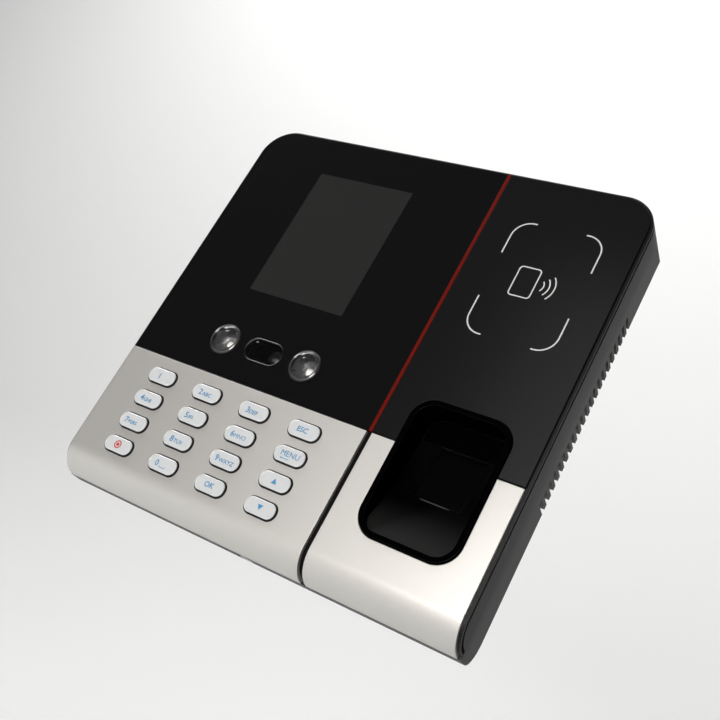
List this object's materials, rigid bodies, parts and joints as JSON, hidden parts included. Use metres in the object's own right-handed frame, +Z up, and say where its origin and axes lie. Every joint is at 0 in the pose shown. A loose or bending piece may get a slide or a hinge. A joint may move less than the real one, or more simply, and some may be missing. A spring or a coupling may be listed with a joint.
{
  "type": "fingerprint scanner terminal",
  "caption": "Wall terminal with a finger well, twin camera with two lamps, card panel, colour screen and a pressable keypad, on a hooked steel wall plate.",
  "frame": {"origin": "centre of the wall plate's four screw holes, on the wall", "axes": "+X to the terminal's right seen from in front, +Y into the wall, +Z up; the face looks along -Y"},
  "size_m": [0.1694, 0.0271, 0.166],
  "materials": {
    "plate_steel": "zinc-plated pressed steel, satin",
    "screw_steel": "plated screws",
    "housing_plastic": "fine-grained dark grey moulding",
    "frame_plastic": "smooth black moulding",
    "gloss_black": "polished black acrylic",
    "accent_red": "dark red plastic, gloss",
    "satin_silver": "satin brushed silver",
    "well_plastic": "semi-gloss black moulding",
    "dark_glass": "polished dark sensor window",
    "board_green": "green solder mask",
    "clear_lens": "clear polished lens",
    "mirror_cup": "bright metallised cup",
    "lamp_body": "pale lamp body",
    "ring_chrome": "polished ring",
    "smoked_glass": "smoked window",
    "camera_black": "black barrel",
    "display_metal": "display frame",
    "foam_black": "foam",
    "mat_silicone": "translucent silicone",
    "battery_wrap": "shrink wrap",
    "socket_metal": "plated shell",
    "terminal_green": "green terminal moulding",
    "relay_blue": "blue relay case",
    "plunger_orange": "orange plunger",
    "flat_cable": "amber flat cable",
    "key_plastic": "pearl white key"
  },
  "bodies": {
    "root": {"wall_plate": "plate_steel", "lock_screw": "screw_steel", "rear_housing": "housing_plastic", "housing_screws": "screw_steel", "front_frame": "frame_plastic", "display_panel": "gloss_black", "card_panel": "gloss_black", "accent_strip": "accent_red", "keypad_cover": "satin_silver", "sensor_cover": "satin_silver", "finger_well": "well_plastic", "sensor_glass": "dark_glass", "sensor_housing": "frame_plastic", "sensor_board": "board_green", "lamp_lens_left": "clear_lens", "lamp_lens_right": "clear_lens", "lamp_reflector_left": "mirror_cup", "lamp_reflector_right": "mirror_cup", "lamp_left": "lamp_body", "lamp_right": "lamp_body", "camera_ring": "ring_chrome", "camera_window": "smoked_glass", "camera_left": "camera_black", "camera_right": "camera_black", "camera_board": "board_green", "display_module": "display_metal", "display_gasket": "foam_black", "main_board": "board_green", "keypad_board": "board_green", "keypad_mat": "mat_silicone", "reader_board": "board_green", "speaker": "camera_black", "battery": "battery_wrap", "network_socket": "socket_metal", "usb_socket": "socket_metal", "power_socket": "camera_black", "terminal_block": "terminal_green", "relay": "relay_blue", "tamper_switch": "camera_black", "board_screws": "screw_steel", "display_cable": "flat_cable", "keypad_cable": "flat_cable", "sensor_cable": "flat_cable"},
    "key_1_body": {"key_1": "key_plastic"},
    "key_2_body": {"key_2": "key_plastic"},
    "key_3_body": {"key_3": "key_plastic"},
    "key_esc_body": {"key_esc": "key_plastic"},
    "key_4_body": {"key_4": "key_plastic"},
    "key_5_body": {"key_5": "key_plastic"},
    "key_6_body": {"key_6": "key_plastic"},
    "key_menu_body": {"key_menu": "key_plastic"},
    "key_7_body": {"key_7": "key_plastic"},
    "key_8_body": {"key_8": "key_plastic"},
    "key_9_body": {"key_9": "key_plastic"},
    "key_up_body": {"key_up": "key_plastic"},
    "key_power_body": {"key_power": "key_plastic"},
    "key_0_body": {"key_0": "key_plastic"},
    "key_ok_body": {"key_ok": "key_plastic"},
    "key_down_body": {"key_down": "key_plastic"},
    "plunger_body": {"tamper_plunger": "plunger_orange"}
  },
  "joints": [
    {"name": "key_1_press", "type": "slide", "parent": "root", "child": "key_1_body", "axis": [0, 1, 0], "range_m": [0, 0.0008], "stiffness_N_per_m": 900},
    {"name": "key_2_press", "type": "slide", "parent": "root", "child": "key_2_body", "axis": [0, 1, 0], "range_m": [0, 0.0008], "stiffness_N_per_m": 900},
    {"name": "key_3_press", "type": "slide", "parent": "root", "child": "key_3_body", "axis": [0, 1, 0], "range_m": [0, 0.0008], "stiffness_N_per_m": 900},
    {"name": "key_esc_press", "type": "slide", "parent": "root", "child": "key_esc_body", "axis": [0, 1, 0], "range_m": [0, 0.0008], "stiffness_N_per_m": 900},
    {"name": "key_4_press", "type": "slide", "parent": "root", "child": "key_4_body", "axis": [0, 1, 0], "range_m": [0, 0.0008], "stiffness_N_per_m": 900},
    {"name": "key_5_press", "type": "slide", "parent": "root", "child": "key_5_body", "axis": [0, 1, 0], "range_m": [0, 0.0008], "stiffness_N_per_m": 900},
    {"name": "key_6_press", "type": "slide", "parent": "root", "child": "key_6_body", "axis": [0, 1, 0], "range_m": [0, 0.0008], "stiffness_N_per_m": 900},
    {"name": "key_menu_press", "type": "slide", "parent": "root", "child": "key_menu_body", "axis": [0, 1, 0], "range_m": [0, 0.0008], "stiffness_N_per_m": 900},
    {"name": "key_7_press", "type": "slide", "parent": "root", "child": "key_7_body", "axis": [0, 1, 0], "range_m": [0, 0.0008], "stiffness_N_per_m": 900},
    {"name": "key_8_press", "type": "slide", "parent": "root", "child": "key_8_body", "axis": [0, 1, 0], "range_m": [0, 0.0008], "stiffness_N_per_m": 900},
    {"name": "key_9_press", "type": "slide", "parent": "root", "child": "key_9_body", "axis": [0, 1, 0], "range_m": [0, 0.0008], "stiffness_N_per_m": 900},
    {"name": "key_up_press", "type": "slide", "parent": "root", "child": "key_up_body", "axis": [0, 1, 0], "range_m": [0, 0.0008], "stiffness_N_per_m": 900},
    {"name": "key_power_press", "type": "slide", "parent": "root", "child": "key_power_body", "axis": [0, 1, 0], "range_m": [0, 0.0008], "stiffness_N_per_m": 900},
    {"name": "key_0_press", "type": "slide", "parent": "root", "child": "key_0_body", "axis": [0, 1, 0], "range_m": [0, 0.0008], "stiffness_N_per_m": 900},
    {"name": "key_ok_press", "type": "slide", "parent": "root", "child": "key_ok_body", "axis": [0, 1, 0], "range_m": [0, 0.0008], "stiffness_N_per_m": 900},
    {"name": "key_down_press", "type": "slide", "parent": "root", "child": "key_down_body", "axis": [0, 1, 0], "range_m": [0, 0.0008], "stiffness_N_per_m": 900},
    {"name": "tamper_press", "type": "slide", "parent": "root", "child": "plunger_body", "axis": [0, -1, 0], "range_m": [0, 0.0015], "stiffness_N_per_m": 400}
  ]
}
